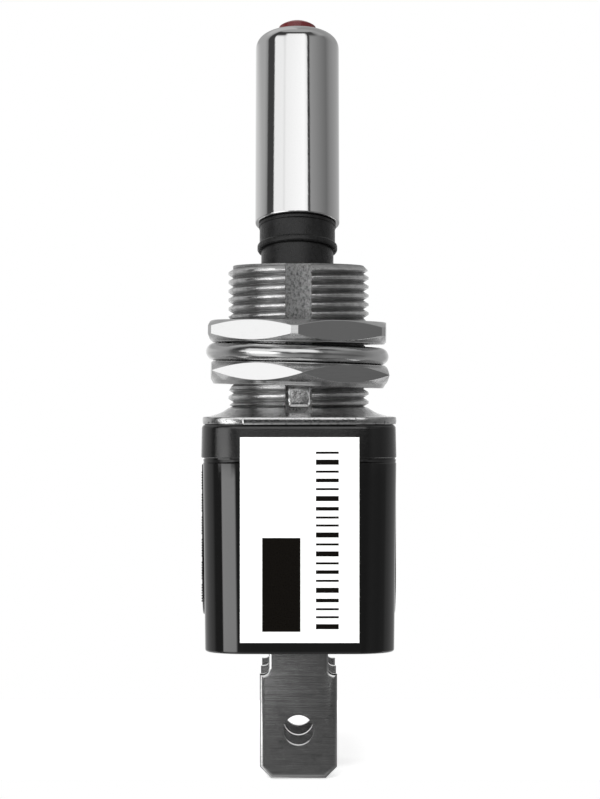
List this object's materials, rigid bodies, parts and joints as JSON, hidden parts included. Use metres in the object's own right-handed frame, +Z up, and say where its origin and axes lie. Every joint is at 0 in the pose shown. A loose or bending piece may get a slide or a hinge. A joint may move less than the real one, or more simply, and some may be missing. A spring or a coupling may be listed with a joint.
{
  "type": "panel toggle switch",
  "caption": "Panel toggle switch with a lamp in the tip of its plated lever, threaded bushing, panel nuts, ring washer and blade terminals.",
  "frame": {"origin": "on the threaded bushing's axis, at the top face of its flange", "axes": "+Z up the bushing, away from the terminals; -Y is the front with the label; the lever tips about X and is stored leaning to +Y"},
  "size_m": [0.0162, 0.0201, 0.0642],
  "materials": {
    "black_housing": "moulded, semi-gloss",
    "black_stem": "moulded, satin",
    "plated_casting": "nickel plated die casting",
    "nickel_nut": "nickel plated, finely turned",
    "chrome_ring": "bright plated",
    "chrome_sleeve": "bright plated, drawn",
    "red_lens": "tinted epoxy, polished",
    "tinned_lead": "tinned",
    "resistor_coat": "lacquered",
    "steel_pin": "ground",
    "pale_nylon": "moulded",
    "contact_brass": "stamped",
    "contact_silver": "silver alloy",
    "terminal_metal": "tin plated brass, brushed",
    "wire_coat": "PVC",
    "label_film": "printed film, blank"
  },
  "bodies": {
    "base": {"base_housing": "black_housing", "top_housing": "black_housing", "threaded_bushing": "plated_casting", "ring_washer": "chrome_ring", "pivot_pin": "steel_pin", "fixed_contact": "contact_silver", "ground_terminal": "terminal_metal", "supply_terminal": "terminal_metal", "load_terminal": "terminal_metal", "lamp_ground_wire": "wire_coat", "lamp_load_wire": "wire_coat", "label": "label_film"},
    "lever": {"lever_stem": "black_stem", "lever_sleeve": "chrome_sleeve", "led_lamp": "red_lens", "led_anode_lead": "tinned_lead", "led_cathode_lead": "tinned_lead", "led_resistor": "resistor_coat", "plunger_spring": "steel_pin"},
    "plunger": {"plunger": "pale_nylon"},
    "rocker": {"rocker_contact": "contact_brass", "moving_contact": "contact_silver"},
    "lower_nut": {"lower_nut": "nickel_nut"},
    "upper_nut": {"upper_nut": "nickel_nut"}
  },
  "joints": [
    {"name": "lever_tilt", "type": "hinge", "parent": "base", "child": "lever", "pos_m": [-0.0001, 0, 0.0071], "axis": [1, 0, 0], "range_deg": [0, 28]},
    {"name": "plunger_slide", "type": "slide", "parent": "lever", "child": "plunger", "axis": [0, 0.2419, 0.9703], "range_m": [0, 0.0006], "stiffness_N_per_m": 300, "springref_m": -0.002, "deforming": ["plunger_spring"]},
    {"name": "rocker_tip", "type": "hinge", "parent": "base", "child": "rocker", "pos_m": [0, 0, -0.00855], "axis": [1, 0, 0], "range_deg": [-16, 0]},
    {"name": "lower_nut_turn", "type": "hinge", "parent": "base", "child": "lower_nut", "pos_m": [0, 0, 0.00355], "axis": [0.0288, 0, 0.9996], "continuous": true},
    {"name": "upper_nut_turn", "type": "hinge", "parent": "base", "child": "upper_nut", "pos_m": [0, 0, 0.00713], "axis": [0.014, 0, 0.9999], "continuous": true}
  ],
  "couplings": [
    {"joint": "rocker_tip", "follows": "lever_tilt", "ratio": -0.57143}
  ]
}
